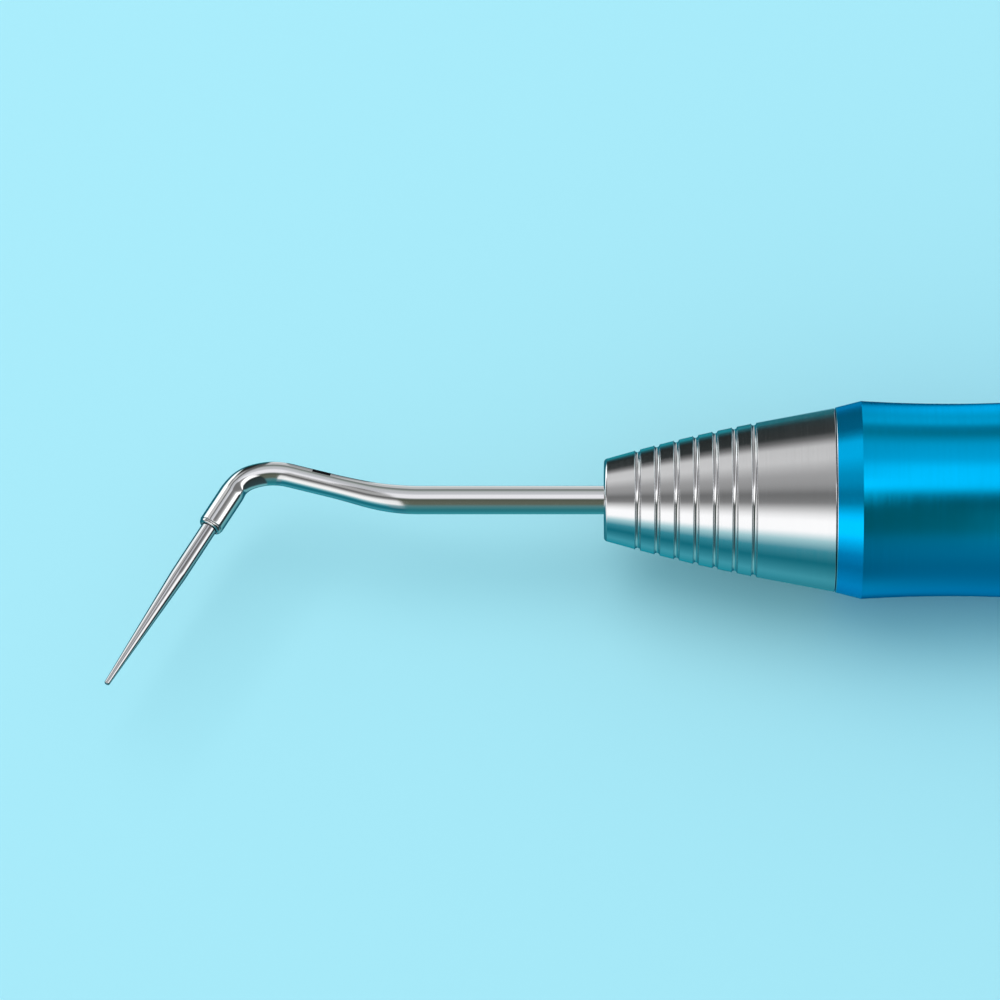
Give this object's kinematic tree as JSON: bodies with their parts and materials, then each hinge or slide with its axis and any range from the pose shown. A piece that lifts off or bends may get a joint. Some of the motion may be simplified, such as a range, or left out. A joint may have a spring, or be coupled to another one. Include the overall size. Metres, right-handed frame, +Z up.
{
  "type": "hand scaler",
  "caption": "Slim hand instrument: blue handle with a finger waist, ribbed steel nose that closes a collet, and a bent exchangeable tube tip with a straight tapered point.",
  "frame": {"origin": "on the handle's axis, in the middle of its cylindrical grip", "axes": "+X along the handle towards the rear cap, the tip towards -X; the tip is bent in the XY plane with its point towards -Y; +Z up"},
  "size_m": [0.1501, 0.0152, 0.01],
  "materials": {
    "handle_blue": "anodised blue, smooth turned",
    "nose_steel": "turned stainless steel with fine rings",
    "tip_steel": "polished stainless steel",
    "inner_steel": "fine turned stainless steel",
    "spring_steel": "hardened steel",
    "bronze": "bearing bronze",
    "black_rubber": "matt black rubber",
    "red_silicone": "matt red silicone"
  },
  "bodies": {
    "handle": {"handle_shell": "handle_blue", "chuck_body": "inner_steel", "chuck_o_ring": "black_rubber", "collet_key": "spring_steel", "nose_o_ring": "black_rubber", "collet_spring": "spring_steel", "spring_seat": "inner_steel", "stop_screw": "spring_steel", "rear_insert": "inner_steel"},
    "collet": {"collet": "inner_steel"},
    "nose": {"nose_cone": "nose_steel", "thrust_washer": "bronze", "collet_ring": "spring_steel"},
    "hub_seal": {"hub_o_ring": "red_silicone"},
    "tip": {"tip_hub": "tip_steel", "shank_tube": "tip_steel", "tip_bush": "tip_steel", "point": "tip_steel"},
    "cap_seal": {"cap_o_ring": "red_silicone"},
    "cap": {"rear_cap": "nose_steel"}
  },
  "joints": [
    {"name": "collet_travel", "type": "slide", "parent": "handle", "child": "collet", "axis": [-1, 0, 0], "range_m": [0, 0.0015], "deforming": ["collet_spring"]},
    {"name": "nose_turn", "type": "hinge", "parent": "collet", "child": "nose", "pos_m": [-0.06, 0, 0], "axis": [-1, 0, 0], "range_deg": [0, 1080]},
    {"name": "tip_pull", "type": "slide", "parent": "collet", "child": "hub_seal", "axis": [-1, 0, 0], "range_m": [0, 0.014]},
    {"name": "tip_index", "type": "hinge", "parent": "hub_seal", "child": "tip", "pos_m": [-0.0527, 0, 0], "axis": [-1, 0, 0], "continuous": true},
    {"name": "cap_travel", "type": "slide", "parent": "handle", "child": "cap_seal", "axis": [1, 0, 0], "range_m": [0, 0.0075]},
    {"name": "cap_turn", "type": "hinge", "parent": "cap_seal", "child": "cap", "pos_m": [0.052, 0, 0], "axis": [1, 0, 0], "range_deg": [0, 3600]}
  ],
  "couplings": [
    {"joint": "nose_turn", "follows": "collet_travel", "rad_per_m": 12566},
    {"joint": "cap_turn", "follows": "cap_travel", "rad_per_m": 8377.6}
  ]
}
